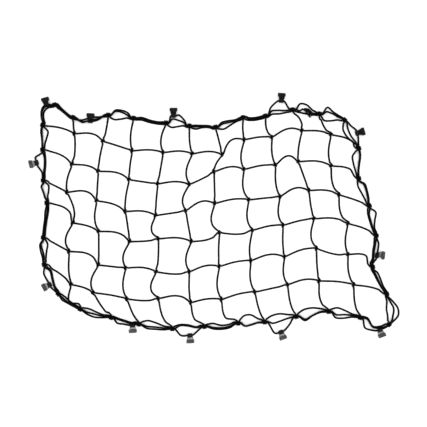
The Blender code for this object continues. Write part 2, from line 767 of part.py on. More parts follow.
def build_border(bm):
    """The border cord with its tie and its two loose ends, as one body."""
    left, right = TIE_TURNS
    arriving = (*-turned(left), 0.0)
    rings = list(add_cord(bm, border_points(), (*turned(right), 0.0), arriving))
    course = turned(TAIL_HEADING)
    below = net_obstacles()
    for angle in TIE_ENDS:
        port, beyond = tie_port(angle)
        plan = (port, beyond, beyond + TAIL_LENGTH / 3 * course, beyond + TAIL_LENGTH * course)
        line, _ = turn_line([(0.0, point, None) for point in plan], below)
        line[0][2] = BED
        root, tip = add_cord(bm, thinned(line), (*turned(angle), 0.0), (*course, 0.0))
        bm.faces.new(tip)
        rings.append(root)
    middle = beside(TIE_CELL, TIE_ALONG, TIE_OUT)
    add_knot_body(bm, crown_and_foot(middle, 0.0), rings)


def build_bores(bm):
    """The straight ways through the edge knots for both turns of the border cord."""
    for index in range(len(EDGE)):
        heading = edge_heading(index)
        for out, height in (LOW_TURN, HIGH_TURN):
            middle = edge_place(index) + out * left_of(heading)
            ends = [(*(middle + along * heading), height) for along in (-BORE_REACH, BORE_REACH)]
            first, last = [add_ring(bm, end, (*heading, 0.0), BORE_RADIUS) for end in ends]
            skin(bm, (first, last))
            bm.faces.new(first)
            bm.faces.new(last)


def material(name, colour, roughness):
    """A plain surface of one colour."""
    made = bpy.data.materials.new(name)
    made.use_nodes = True
    shader = made.node_tree.nodes["Principled BSDF"]
    shader.inputs["Base Color"].default_value = (*colour, 1.0)
    shader.inputs["Roughness"].default_value = roughness
    shader.inputs["Metallic"].default_value = 0.0
    return made


def main():
    for old in list(bpy.data.objects):
        bpy.data.objects.remove(old, do_unlink=True)
    cord = material("black_elastic_cord", CORD_COLOUR, CORD_ROUGHNESS)
    plastic = material("black_moulded_plastic", HOOK_COLOUR, HOOK_ROUGHNESS)
    net = new_object("net", build_net, cord)
    bores = new_object("knot_bores", build_bores, cord)
    bores.hide_render = True
    bores.display_type = "WIRE"
    cut = net.modifiers.new("bores", "BOOLEAN")
    cut.operation = "DIFFERENCE"
    cut.solver = "EXACT"
    cut.object = bores
    new_object("border_cord", build_border, cord)
    for number, hook in enumerate(HOOKS, start=1):
        new_object(f"hook_{number:02d}", hook_builder(hook_pose(*hook)), plastic)


main()
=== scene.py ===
"""The looks of the cargo net: braided elastic cord, wound knots and moulded hooks.

The tables and the routes of the cords are the construction's own, in
millimetres and degrees. Every mesh is made in millimetres and scaled to metres.
"""

import math
import random
from itertools import permutations, repeat
from math import radians

import bmesh
import bpy
import numpy as np
from mathutils import Matrix, Vector
from numpy.linalg import norm


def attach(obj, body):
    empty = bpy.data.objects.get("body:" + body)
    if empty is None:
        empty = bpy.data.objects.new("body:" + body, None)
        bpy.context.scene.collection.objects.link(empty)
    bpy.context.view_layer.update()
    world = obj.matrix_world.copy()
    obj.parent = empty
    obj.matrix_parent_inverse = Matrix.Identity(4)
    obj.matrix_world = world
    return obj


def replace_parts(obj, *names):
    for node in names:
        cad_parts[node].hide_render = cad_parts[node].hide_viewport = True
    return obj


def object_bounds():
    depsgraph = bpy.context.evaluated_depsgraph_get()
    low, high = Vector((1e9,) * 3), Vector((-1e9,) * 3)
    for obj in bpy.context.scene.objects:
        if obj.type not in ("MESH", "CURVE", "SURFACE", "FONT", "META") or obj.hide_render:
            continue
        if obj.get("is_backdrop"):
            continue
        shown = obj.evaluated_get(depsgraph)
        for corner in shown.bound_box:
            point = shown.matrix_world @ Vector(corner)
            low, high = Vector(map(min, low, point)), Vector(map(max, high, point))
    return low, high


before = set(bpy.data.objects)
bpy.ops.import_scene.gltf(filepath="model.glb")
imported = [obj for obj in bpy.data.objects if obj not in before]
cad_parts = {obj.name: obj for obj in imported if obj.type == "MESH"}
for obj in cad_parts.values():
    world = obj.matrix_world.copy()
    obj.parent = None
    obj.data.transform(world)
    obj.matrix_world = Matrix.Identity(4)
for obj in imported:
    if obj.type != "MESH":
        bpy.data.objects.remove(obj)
cad_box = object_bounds()

MM = 0.001
UP = Vector((0.0, 0.0, 1.0))

# The cord
CORD_RADIUS = 2.5
TIGHT_RADIUS = 2.1  # pulled tight in a knot
CORD_SIDES = 12
CORD_STEP = 3.0  # spacing of the points along a free cord
KNOT_STEP = 1.5  # the same in a knot
BED = 2.8  # height of a cord's middle where it lies on the floor
STACK = 2 * CORD_RADIUS + 1.8  # least spacing of the middles of two cords
DROP = 0.03  # fall of the upper cord beside a crossing, over its distance squared
FLOOR_CLEAR = 0.05  # height of the undersides that are pressed flat

# A mesh knot
PORT_REACH = 7.0  # least distance from the knot's middle to where a cord leaves it
PORT_CLEARANCE = 0.4  # between the end of one cord's way out and its neighbours
ARRIVAL_SHIFT = (-2.8, 2.8)  # of the cords that come to it from the far left
PORT_HEIGHT = 3.2  # of the middle of a cord that leaves it
PORT_SAMPLES = 5  # places on a cord's way out that keep the border cord off
LEAST_TURN = radians(46)  # between two cords that leave one knot
EASING_ROUNDS = 20  # in which its cords are moved apart
CROSSED = 0.75  # of a turn: over a wider gap, two cords are crossed
END_SHARE = 0.14  # of a cord's length, kept at each end for its way out of a knot

# An edge knot: a hitch round both turns of the border cord
HITCH_MIDDLE = (1.0, 6.6)  # outward from the knot, and height
WINDING_RADIUS = 5.6  # of the middle of the cord that is wound round it
SELVEDGE_INSET = 4.2  # how far inward the selvedge cord passes
MESH_INSET = 6.6  # how far inward the mesh cord begins
MESH_SLIDE = 4.8  # how far to its side a mesh cord begins that comes in slantwise
EDGE_REACH = 6.5  # least distance from there to where they leave the knot
EDGE_TURN = radians(40)  # between two cords that leave it
# How far a cord may swing from square as it leaves a hitch
INNER_SWING = radians(52)
OUTWARD_SWING = radians(4)
INWARD_SWING = radians(40)
CORNER_SWING = radians(55)
LOW_TURN = (3.0, 4.6)  # outward place and height of the first turn in a hitch
HIGH_TURN = (-0.6, 9.6)  # the same for the second turn, which lies on it
LOW_TIGHT = (2.35, 5.3)  # the same two turns where the hitch squeezes them
HIGH_TIGHT = (-0.35, 8.1)
STRAIGHT = 8.6  # each side of a hitch, where the border cord is straight
SETTLE = 24.0  # further length in which it comes down to the floor
SQUEEZE_REACH = 10.0  # from a hitch's middle to where its squeeze ends

# Where the knots lie: a row for each crosswise cord, from the far edge to the
# near one, and a column for each lengthwise cord, from left to right.
KNOT_X = (
    (-528, -467, -350, -266, -158, -80, 7, 98, 173, 263, 352, 435),
    (-567, -462, -367, -270, -167, -70, 30, 103, 195, 295, 392, 482),
    (-567, -470, -383, -280, -185, -80, 2, 102, 207, 283, 392, 482),
    (-565, -487, -388, -293, -192, -92, 5, 118, 222, 318, 418, 517),
    (-553, -467, -382, -278, -183, -73, 20, 130, 232, 335, 448, 540),
    (-565, -480, -382, -292, -190, -80, 20, 125, 237, 343, 448, 528),
    (-562, -473, -400, -288, -183, -75, 27, 138, 247, 352, 467, 575),
    (-515, -443, -340, -248, -137, -30, 82, 170, 275, 383, 488, 583),
)
KNOT_Y = (
    (376, 334, 342, 332, 316, 306, 302, 334, 339, 360, 346, 326),
    (309, 281, 256, 224, 218, 214, 211, 261, 269, 291, 278, 232),
    (228, 179, 156, 128, 114, 112, 154, 162, 176, 188, 174, 132),
    (126, 86, 58, 22, 9, 24, 49, 61, 71, 92, 78, 41),
    (51, -16, -44, -78, -69, -78, -48, -41, -24, -2, -18, -58),
    (-64, -111, -156, -166, -179, -179, -161, -142, -129, -101, -121, -162),
    (-154, -221, -248, -269, -268, -281, -271, -246, -222, -209, -222, -252),
    (-251, -301, -329, -351, -366, -359, -348, -344, -326, -309, -329, -352),
)
COLUMNS = len(KNOT_X[0])
ROWS = len(KNOT_X)
BOX_MIDDLE = (1.13, 0.53)  # of the whole net and its hooks, in the tables' frame

# How far each stretch of mesh cord bows out between two knots.
# Crosswise cords 1 to 6, bowing towards the far edge; a column for each cell.
ROW_BOW = (
    (7, 15, 1, 7, 8, 10, 24, 5, 17, 7, 13),
    (11, 9, 12, 0, 9, -2, 13, 6, 25, 10, 17),
    (1, 20, 9, 9, 0, 18, 8, 1, 18, 9, 3),
    (23, 6, 15, -3, 9, -10, -9, 6, 4, 11, 7),
    (0, 19, 0, 9, -7, 11, 6, 14, 9, -7, 24),
    (6, 5, 3, -6, 17, 7, 6, 0, 11, 5, 8),
)
# Lengthwise cords 1 to 10, bowing to the left; a column for each cell.
COLUMN_BOW = (
    (2, -5, 8, -11, 18, 6, 27),
    (-2, 3, 1, 11, 0, 15, 5),
    (8, 3, 5, 0, 15, 12, 4),
    (12, 0, 2, 20, -3, 23, 13),
    (5, 15, 16, 1, 15, 4, 17),
    (0, 6, 0, 21, 3, 12, 24),
    (3, 11, 13, 13, 7, 10, 5),
    (9, 7, 8, 12, 4, 10, 7),
    (-10, 5, 0, 3, 15, 3, 15),
    (7, 9, 11, 13, 9, 9, 8),
)
BOW_LEAN = 1.25  # over 1 moves a bow's fullest part towards the cord's end
BOW_POINTS = 9  # along each stretch

# How far the three border strands lie outside a cell's chord, from one edge
# knot to the next, at a quarter, a half and three quarters of the way,
# clockwise from the far left corner. A row for each cell along the edge.
#   selvedge         second turn       first turn
SELVEDGE, SECOND, FIRST = range(3)
QUARTERS = (0.25, 0.5, 0.75)
BORDER = (
    ((-2, -3, -5), (1, -1, -3), (5, 2, 0)),  # far edge
    ((-9, -3, -3), (-16, -14, -8), (-17, -15, -10)),
    ((-11, -7, -1), (15, 16, 8), (20, 22, 16)),
    ((-1, -5, -6), (4, -1, -3), (7, 2, 0)),
    ((-11, -6, -1), (16, 15, 9), (28, 32, 18)),
    ((-8, -2, -1), (-1, 1, 1), (4, 4, 4)),
    ((-14, -9, -4), (3, 1, -2), (9, 7, 2)),
    ((-9, -10, -8), (-5, -6, -4), (-1, -2, 0)),
    ((2, -2, -3), (12, 10, 3), (24, 38, 22)),
    ((-4, -5, -5), (0, 6, -1), (25, 24, 9)),
    ((-16, -12, -4), (13, 12, 5), (29, 19, 11)),
    ((-17, -16, -6), (-1, -3, 0), (12, 19, 13)),  # right edge
    ((-19, -16, -9), (4, 1, -1), (7, 4, 1)),
    ((-10, -7, -4), (9, 9, 5), (14, 13, 9)),
    ((-9, -8, -6), (-6, -6, -4), (18, 9, 2)),
    ((-2, -3, -2), (1, -1, 0), (13, 10, 12)),
    ((-5, -5, -4), (-2, -3, -3), (7, 6, 3)),
    ((0, -3, -1), (10, 21, 16), (19, 35, 34)),
    ((14, 20, -3), (17, 22, 1), (27, 33, 31)),  # near edge
    ((-5, -12, -16), (-1, 2, 7), (5, 14, 17)),
    ((-13, -19, -17), (-3, 5, 14), (0, 7, 19)),
    ((-10, -17, -15), (2, 7, 10), (24, 42, 43)),
    ((-11, -24, -23), (1, 7, 11), (3, 9, 12)),
    ((2, 3, -6), (8, 11, 7), (13, 16, 12)),
    ((1, -7, -10), (2, -5, -8), (17, 27, 26)),
    ((-3, -10, -14), (3, 4, 5), (9, 11, 12)),
    ((2, 1, -1), (4, 3, 1), (9, 13, 15)),
    ((0, -3, -7), (3, 5, 5), (9, 15, 12)),
    ((0, 0, -3), (3, 4, 4), (6, 8, 11)),
    ((1, -4, -10), (2, -3, -8), (12, 16, 16)),  # left edge
    ((-5, -8, -12), (0, 5, 8), (6, 12, 13)),
    ((-3, -4, -6), (-2, -3, -4), (3, 3, 4)),
    ((-4, -10, -13), (3, 6, 9), (5, 8, 11)),
    ((-4, -7, -7), (-2, -5, -5), (5, 18, 26)),
    ((-6, -12, -16), (1, 2, 3), (3, 5, 7)),
    ((9, 20, 16), (14, 25, 22), (17, 29, 26)),
)

# Where the border cord is tied to itself: the cell along the far edge, the
# share of the way along it, and how far outside its chord
TIE_CELL, TIE_ALONG, TIE_OUT = 9, 0.47, 7.5
# The ways its turns and its loose ends leave the tie
TIE_TURNS = (radians(166), radians(14))
TIE_ENDS = (radians(-30), radians(-74))
# Each loose end then goes this far this way
TAIL_LENGTH = 20.0
TAIL_HEADING = radians(-50)

# A hook, seen from its side with its eye's middle at the origin
EYE_RADIUS = 6.2
EYE_HOLE_RADIUS = 4.0
SHANK_THICKNESS = 3.0
SEAT_START, SEAT_END = 7.6, 15.0  # the shank's flat inner face, along the hook
CURL_MIDDLE = 20.0  # along the hook, as is the lip's end
LIP_END = 15.3
LIP_THICKNESS = 2.7
EYE_HALF_WIDTH = 7.4
FAN_HALF_WIDTH = 12.2
FAN_START, FAN_END = 7.6, 17.0  # where the hook widens, along it
HOOK_FLOOR = 0.2  # clear height under a hook
EYE_STRAIGHT = 8.2  # each side of an eye, where the cord is straight
EYE_ROOM = 8.0  # along the edge, from there to the next place on its way
EYE_SAMPLES = 5  # places across an eye that keep the second turn off

LIP_UP, BACK_UP = 0, 180
# Cell along the edge (counted as in BORDER), share of the way along it, how far
# outside its chord, the way the hook points and its roll about its length
HOOKS = (
    (35, 0.83, 23, 105, BACK_UP),
    (1, 0.48, -15, 87, BACK_UP),
    (4, 0.28, 28, 91, BACK_UP),
    (8, 0.68, 38, 86, BACK_UP),
    (11, 0.55, 19, 16, BACK_UP),
    (15, 0.62, 10, 0, 25),
    (18, 0.25, 25, -69, LIP_UP),
    (21, 0.55, 43, -70, LIP_UP),
    (24, 0.47, 27, -86, LIP_UP),
    (26, 0.215, 9, -86, LIP_UP),
    (29, 0.37, 14, 206, LIP_UP),
    (33, 0.58, 22, 194, LIP_UP),
)


def unit(vector):
    return vector / norm(vector)


def left_of(vector):
    """The plan direction a quarter turn anticlockwise from another."""
    return np.array((-vector[1], vector[0]))


def around(ring):
    """Each item of a ring with the next one."""
    return zip(ring, ring[1:] + ring[:1])


def turned(angle):
    return np.array((math.cos(angle), math.sin(angle)))


def knot_place(column, row):
    return np.array((KNOT_X[row][column], KNOT_Y[row][column])) - BOX_MIDDLE


# (column, row) of the edge knots, clockwise from the far left corner
EDGE = [(column, 0) for column in range(COLUMNS)]
EDGE += [(COLUMNS - 1, row) for row in range(1, ROWS)]
EDGE += [(column, ROWS - 1) for column in range(COLUMNS - 2, -1, -1)]
EDGE += [(0, row) for row in range(ROWS - 2, 0, -1)]


def edge_place(index):
    return knot_place(*EDGE[index % len(EDGE)])


def edge_chord(index):
    """The straight way from one edge knot to the next."""
    return edge_place(index + 1) - edge_place(index)


def edge_heading(index):
    """The way the border runs through an edge knot."""
    return unit(unit(edge_chord(index - 1)) + unit(edge_chord(index)))


def beside(index, along, out):
    """A plan point beside the chord from one edge knot to the next."""
    chord = edge_chord(index)
    return edge_place(index) + along * chord + out * unit(left_of(chord))


def smooth_line(points, steps=repeat(CORD_STEP)):
    """A smooth line through the given points, and each one's place in it.

    Steps are the spacings of the new points in each interval. A point may have
    a radius as its last number, which then runs smoothly too.
    """
    points = np.asarray(points, dtype=float)
    padded = np.vstack((2 * points[0] - points[1], points, 2 * points[-1] - points[-2]))
    line, marks = [points[0]], [0]
    for a, b, c, d, step in zip(padded, padded[1:], padded[2:], padded[3:], steps):
        lengths = [norm(q - p) for p, q in ((a, b), (b, c), (c, d))]
        t0, t1, t2, t3 = np.cumsum([0.0] + [length**0.5 for length in lengths])
        for t in np.linspace(t1, t2, max(1, math.ceil(lengths[1] / step)) + 1)[1:]:
            ab = ((t1 - t) * a + (t - t0) * b) / (t1 - t0)
            bc = ((t2 - t) * b + (t - t1) * c) / (t2 - t1)
            cd = ((t3 - t) * c + (t - t2) * d) / (t3 - t2)
            abc = ((t2 - t) * ab + (t - t0) * bc) / (t2 - t0)
            bcd = ((t3 - t) * bc + (t - t1) * cd) / (t3 - t1)
            line.append(((t2 - t) * abc + (t - t1) * bcd) / (t2 - t1))
        marks.append(len(line) - 1)
    return np.array(line), marks


def step_lengths(line):
    """The lengths between the points of a line."""
    return norm(np.diff(line[:, :3], axis=0), axis=1)


def widened(line, number):
    """A line with one more number for each point, the same for all."""
    return np.column_stack((line, np.full(len(line), number)))


def free(line):
    """Points of a free cord from a line of plain ones."""
    return widened(line, CORD_RADIUS)


def spread(angles, least, limits=()):
    """Angles eased apart until neighbours are so far from each other.

    A limit is an angle and the least and the most swing from it. Where there
    are limits, the angles keep to their order.
    """
    angles = list(angles)
    ranks = [square for square, _, _ in limits] or angles
    order = sorted(range(len(angles)), key=lambda item: ranks[item] % math.tau)
    for _ in range(EASING_ROUNDS):
        for first, second in around(order):
            gap = (angles[second] - angles[first]) % math.tau
            if gap > math.tau * CROSSED:
                gap -= math.tau
            if gap < least:
                angles[first] -= (least - gap) / 2
                angles[second] += (least - gap) / 2
        for number, (square, low, high) in enumerate(limits):
            swing = (angles[number] - square + math.pi) % math.tau - math.pi
            angles[number] = square + min(max(swing, low), high)
    return angles


def bowed(first, second, bow):
    """(first knot, second knot, plan points) of a cord that bows to the left."""
    start = knot_place(*first)
    chord = knot_place(*second) - start
    side = unit(left_of(chord))
    points = []
    for share in np.linspace(0, 1, BOW_POINTS):
        leaned = share**BOW_LEAN
        points.append(start + share * chord + 4 * bow * leaned * (1 - leaned) * side)
    return first, second, points


def mesh_cords():
    """Each stretch of the cords inside the edge."""
    cords = []
    for row, bows in enumerate(ROW_BOW, start=1):
        for column, bow in enumerate(bows):
            cords.append(bowed((column, row), (column + 1, row), bow))
    for column, bows in enumerate(COLUMN_BOW, start=1):
        for row, bow in enumerate(bows):
            cords.append(bowed((column, row), (column, row + 1), -bow))
    return cords


def selvedge_cords():
    """Each stretch of the cord along the edge, in the same form."""
    cords = []
    for index, (start, end) in enumerate(around(EDGE)):
        strand = zip(QUARTERS, BORDER[index][SELVEDGE])
        inner = [beside(index, share, out) for share, out in strand]
        cords.append((start, end, [knot_place(*start)] + inner + [knot_place(*end)]))
    return cords


class Knot:
    """A knot of the net and the directions in which its cords leave it."""

    def __init__(self, name):
        self.name = name
        self.place = knot_place(*name)
        self.on_edge = name in EDGE
        if self.on_edge:
            self.heading = edge_heading(EDGE.index(name))
            self.out = left_of(self.heading)
        self.roots = []
        self.angles = []
        self.kinds = []
        self.reaches = []

    def root(self, towards, kind, arriving):
        """Where in the knot a cord that leaves towards a plan point begins."""
        if not self.on_edge:
            return self.place + ARRIVAL_SHIFT if arriving else self.place
        if kind != "mesh":
            return self.place - SELVEDGE_INSET * self.out
        slant = unit(towards - self.place) @ self.heading if arriving else 0.0
        return self.place - MESH_INSET * self.out + slant * MESH_SLIDE * self.heading

    def add_port(self, towards, kind, arriving):
        """Notes a cord that leaves towards a plan point, and returns its number."""
        root = self.root(towards, kind, arriving)
        aim = towards - root
        self.roots.append(root)
        self.angles.append(math.atan2(aim[1], aim[0]))
        self.kinds.append(kind)
        self.reaches.append(EDGE_REACH if self.on_edge else PORT_REACH)
        return len(self.angles) - 1

    def settle_angles(self):
        """Turns the ports so that no cord crowds another."""
        if not self.on_edge:
            self.angles = spread(self.angles, LEAST_TURN)
            return
        ahead = math.atan2(self.heading[1], self.heading[0])
        inward = INWARD_SWING if "mesh" in self.kinds else CORNER_SWING
        swings = {
            "mesh": (ahead - math.pi / 2, -INNER_SWING, INNER_SWING),
            "after": (ahead, -inward, OUTWARD_SWING),
            "before": (ahead + math.pi, -OUTWARD_SWING, inward),
        }
        self.angles = spread(self.angles, EDGE_TURN, [swings[kind] for kind in self.kinds])

    def settle_reaches(self):
        """Moves each port outward until the others lie behind its end."""
        for number, other in [*permutations(range(len(self.angles)), 2)] * EASING_ROUNDS:
            root, way = self.roots[number], turned(self.angles[number])
            place, heading = self.port(other)
            wide = CORD_RADIUS * abs(left_of(heading) @ way)
            least = (place - root) @ way + wide + PORT_CLEARANCE
            self.reaches[number] = max(self.reaches[number], least)

    def port(self, number):
        """The plan place and direction of one port."""
        direction = turned(self.angles[number])
        return self.roots[number] + self.reaches[number] * direction, direction

    def crosswise_angle(self):
        """The way the crosswise cord runs through a mesh knot."""
        way = self.port(1)[0] - self.port(0)[0]
        return math.atan2(way[1], way[0])


def add_ports(knots, cords, kinds, skipped):
    """Notes where each cord leaves its knots: (knot, port, knot, port, plan points).

    Its plan points nearest to a knot are skipped when its way out is found.
    """
    ported = []
    for start, end, plan in cords:
        first = knots[start].add_port(plan[1 + skipped], kinds[0], arriving=False)
        last = knots[end].add_port(plan[-2 - skipped], kinds[1], arriving=True)
        ported.append((start, first, end, last, plan))
    return ported


def net_line(first_port, last_port, plan):
    """The smooth line of a cord between its ports in two knots."""
    (place_a, way_a), (place_b, way_b) = first_port, last_port
    chord = place_b - place_a
    inner = []
    for point in plan[1:-1]:
        share = (point - place_a) @ chord / (chord @ chord)
        if END_SHARE < share < 1 - END_SHARE:
            inner.append((*point, BED))
    head = (*(place_a + CORD_RADIUS * way_a), PORT_HEIGHT)
    tail = (*(place_b + CORD_RADIUS * way_b), PORT_HEIGHT)
    controls = [(*place_a, PORT_HEIGHT), head, *inner, tail, (*place_b, PORT_HEIGHT)]
    return smooth_line(controls)[0]


def net_lines():
    """The knots, and each cord as (knot, port, knot, port, smooth points)."""
    names = [(column, row) for column in range(COLUMNS) for row in range(ROWS)]
    knots = {name: Knot(name) for name in names}
    cords = add_ports(knots, mesh_cords(), ("mesh", "mesh"), skipped=1)
    cords += add_ports(knots, selvedge_cords(), ("after", "before"), skipped=0)
    for knot in knots.values():
        knot.settle_angles()
        knot.settle_reaches()
    lines = []
    for start, first, end, last, plan in cords:
        line = net_line(knots[start].port(first), knots[end].port(last), plan)
        lines.append((start, first, end, last, line))
    return knots, lines


def net_obstacles(knots, cords):
    """Points along the net's cords, with the distance that the border cord keeps."""
    lines = []
    for start, first, end, last, line in cords:
        for name, port, place in ((start, first, line[0]), (end, last, line[-1])):
            root = (*knots[name].roots[port], PORT_HEIGHT)
            lines.append(np.linspace(root, place, PORT_SAMPLES))
        lines.append(line)
    return widened(np.vstack(lines), STACK)


# --- Winding the knots ---

# One cord straight through a mesh knot, along x, and one that takes a round
# turn on it, along y, alike from both its ends: x, y and height of each point
THROUGH = ((-3.6, -0.3, 4.3), (0.0, 0.2, 5.2), (3.6, 0.3, 4.3))
HALF_TURN = (
    (1.5, 4.9, 6.0),
    (2.2, 1.4, 8.9),
    (2.4, -2.4, 8.3),
    (2.5, -4.8, 5.0),
    (1.2, -2.9, 2.0),
)
ROUND_TURN = HALF_TURN + tuple((-x, -y, height) for x, y, height in HALF_TURN[::-1])
KNOT_JITTER = 0.35  # of each point, each way
KNOT_TWIST = radians(14)  # of a whole knot, each way
# The tie: each strand from its turn of the border cord to its loose end
TIE_LEFT = ((-3.6, 2, 4.8), (1.2, 3.2, 7.6), (4.3, 1.2, 6.6), (3.4, -2.4, 4.2), (1.6, -4.6, 3.4))
TIE_RIGHT = ((3.8, 2.6, 3.2), (-1.4, 3.6, 3.2), (-4.4, 0.8, 5), (-2.8, -2.6, 7.4), (2.2, -3.2, 6.8))
# A hitch's turns, in degrees round the border cords from their outer side: up on
# the inner side, over the top and down outside
TURN_ANGLES = (205, 160, 112, 64, 18, -28, -74, -120)
TURN_PITCH = 4.3  # between the turns of a hitch, along the border
OUT_JITTER, ALONG_JITTER = 0.25, 0.4  # of a turn's points, each way
TURN_FLOOR = TIGHT_RADIUS * 0.8  # least height of a turn, pressed flat there
MESH_TURN_RADIUS = WINDING_RADIUS + 0.3  # of the mesh cord's turn between them
HIDDEN_END = (-155, 2.6)  # angle and radius of a cord's end inside a hitch


def jittered(points, dice):
    """Points from a table, each a little off its place."""
    return [
        [number + dice.uniform(-KNOT_JITTER, KNOT_JITTER) for number in point]
        for point in points
    ]


def placed(points, middle, x_way):
    """Points of a tight cord, moved from a knot's own axes to the net's."""
    y_way = left_of(x_way)
    return [
        np.array((*(middle + x * x_way + y * y_way), height, TIGHT_RADIUS))
        for x, y, height in points
    ]


def mesh_knot(knot, lengthwise):
    """The points of one cord in a mesh knot, a little different in each knot."""
    dice = random.Random(f"knot {knot.name}")
    mirrored = dice.choice((-1, 1))
    angle = knot.crosswise_angle() + dice.uniform(-KNOT_TWIST, KNOT_TWIST)
    through = jittered(THROUGH, dice)
    turn = jittered(ROUND_TURN, dice)
    for point in turn:
        point[0] *= mirrored
    middle = knot.place + np.array(ARRIVAL_SHIFT) / 2
    return placed(turn if lengthwise else through, middle, turned(angle))


def round_border(knot, along, angles, radius=WINDING_RADIUS):
    """Points round both turns of the border cord, at one place along it."""
    dice = random.Random(f"turn {knot.name} {along}")
    points = []
    for angle in map(radians, angles):
        reach = radius + dice.uniform(-OUT_JITTER, OUT_JITTER)
        out = HITCH_MIDDLE[0] + reach * math.cos(angle)
        height = max(HITCH_MIDDLE[1] + reach * math.sin(angle), TURN_FLOOR)
        points.append((along + dice.uniform(-ALONG_JITTER, ALONG_JITTER), out, height))
    return placed(points, knot.place, knot.heading)


def hitch(knot):
    """The selvedge cord's turns in an edge knot: three at a corner, or two."""
    points = []
    for place in (-1, 1) if "mesh" in knot.kinds else (-1, 0, 1):
        points += round_border(knot, place * TURN_PITCH, TURN_ANGLES)
    return points


def hitched_end(knot):
    """The mesh cord's turn in an edge knot, from inside the net to its hidden end."""
    points = round_border(knot, 0.0, TURN_ANGLES[1:], MESH_TURN_RADIUS)
    return points + round_border(knot, 0.0, HIDDEN_END[:1], HIDDEN_END[1])


def chained(parts):
    """One smooth cord through its free and its tight stretches, in turn."""
    points, steps = [], []
    for part, tight in parts:
        points += list(part)
        steps += [KNOT_STEP if tight else CORD_STEP] * len(part)
    spacing = [min(a, b) for a, b in zip(steps, steps[1:])]
    return smooth_line(points, spacing)[0]


LEFT_OUT = 1  # points of a free stretch given up at each end to its knots


def span(lines, start, end):
    """The free stretch from one knot to another."""
    return free(lines[start.name, end.name][LEFT_OUT:-LEFT_OUT])


def mesh_cord(knots, lengthwise, lines):
    """One cord of the mesh, through its knots from edge to edge."""
    parts = [(hitched_end(knots[0])[::-1], True)]
    for start, end in zip(knots, knots[1:]):
        parts.append((span(lines, start, end), False))
        if not end.on_edge:
            parts.append((mesh_knot(end, lengthwise), True))
    parts.append((hitched_end(knots[-1]), True))
    return chained(parts)


def selvedge_cord(knots, lines):
    """The cord round the net's edge, with its ends hidden in one hitch."""
    parts = []
    for start, end in around(knots):
        parts.append((hitch(start), True))
        parts.append((span(lines, start, end), False))
    parts.append((round_border(knots[0], -TURN_PITCH, TURN_ANGLES[:2]), True))
    return chained(parts)


# --- The border cord ---

TIE = beside(TIE_CELL, TIE_ALONG, TIE_OUT)


def cell_controls(index, column, turn, pose=None):
    """Control points of one turn of the border cord along one cell.

    Each is (share of the way, plan point, height or None). Heights come in
    pairs, one for each end of a straight stretch through a hitch or an eye.
    """
    heading = edge_heading(index)
    middle = edge_place(index) + turn[0] * left_of(heading)
    controls = [(0.0, middle + along * heading, turn[1]) for along in (-STRAIGHT, STRAIGHT)]
    places = zip(QUARTERS, BORDER[index][column])
    strand = [(share, beside(index, share, out), None) for share, out in places]
    if pose is None:
        return controls + strand
    chord = edge_chord(index)
    eye, axis = np.array(pose.translation), np.array(pose.col[1][:3])
    if axis[:2] @ chord < 0:
        axis = -axis
    through = []
    for along in (-EYE_STRAIGHT, EYE_STRAIGHT):
        end = eye + along * axis
        share = (end[:2] - edge_place(index)) @ chord / (chord @ chord)
        through.append((share, end[:2], end[2]))
    room = EYE_ROOM / norm(chord)
    before = [item for item in strand if item[0] < through[0][0] - room]
    after = [item for item in strand if item[0] > through[1][0] + room]
    return controls + before + through + after


def fading(share):
    """1 at 0, and smoothly less down to 0 at 1 and beyond."""
    return 0.5 + 0.5 * np.cos(math.pi * np.clip(share, 0.0, 1.0))


def heights_along(line, marks, controls, obstacles):
    """How high a cord lies at each point of its plan line.

    It lies on the floor or on the cords below it, and rises to the fixed
    heights of its controls.
    """
    run = np.concatenate(([0.0], np.cumsum(step_lengths(line))))
    apart = norm(line[:, None, :] - obstacles[None, :, :2], axis=2)
    room = np.maximum(obstacles[:, 3] ** 2 - apart**2, 0.0)
    need = np.where(room > 0, obstacles[:, 2] + np.sqrt(room), BED).max(axis=1)
    away = np.abs(run[:, None] - run[None, :])
    heights = np.maximum((need[None, :] - DROP * away**2).max(axis=1), BED)
    fixed = [(mark, item[2]) for mark, item in zip(marks, controls) if item[2] is not None]
    for mark, height in fixed:
        eased = fading((away[mark] - STRAIGHT / 2) / SETTLE)
        heights = np.maximum(heights, BED + (height - BED) * eased)
    for mark, height in fixed:
        heights[mark] = height
    return heights


def turn_line(controls, obstacles):
    """The smooth line of one turn of the border cord, or of a loose end."""
    plan, marks = smooth_line([point for _, point, _ in controls])
    return np.column_stack((plan, heights_along(plan, marks, controls, obstacles)))


def squeezed(line, turn, tight):
    """A turn of the border cord, drawn in and thinner inside each hitch."""
    cord = free(line)
    for index in range(len(EDGE)):
        out = left_of(edge_heading(index))
        offset = line[:, :2] - edge_place(index) - turn[0] * out
        weight = fading(norm(offset, axis=1) / SQUEEZE_REACH)
        cord[:, :2] += weight[:, None] * (tight[0] - turn[0]) * out
        cord[:, 2] += weight * (tight[1] - turn[1])
        cord[:, 3] -= weight * (CORD_RADIUS - TIGHT_RADIUS)
    return cord


def tie_port(angle):
    """Where a cord leaves the tie, and the next point on its way."""
    return [TIE + reach * turned(angle) for reach in (PORT_REACH, PORT_REACH + CORD_RADIUS)]


def loose_end(angle, net):
    """A short loose end of the border cord, from the tie outwards."""
    course = turned(TAIL_HEADING)
    port, beyond = tie_port(angle)
    plan = (port, beyond, beyond + TAIL_LENGTH / 3 * course, beyond + TAIL_LENGTH * course)
    return free(turn_line([(0.0, point, None) for point in plan], net))


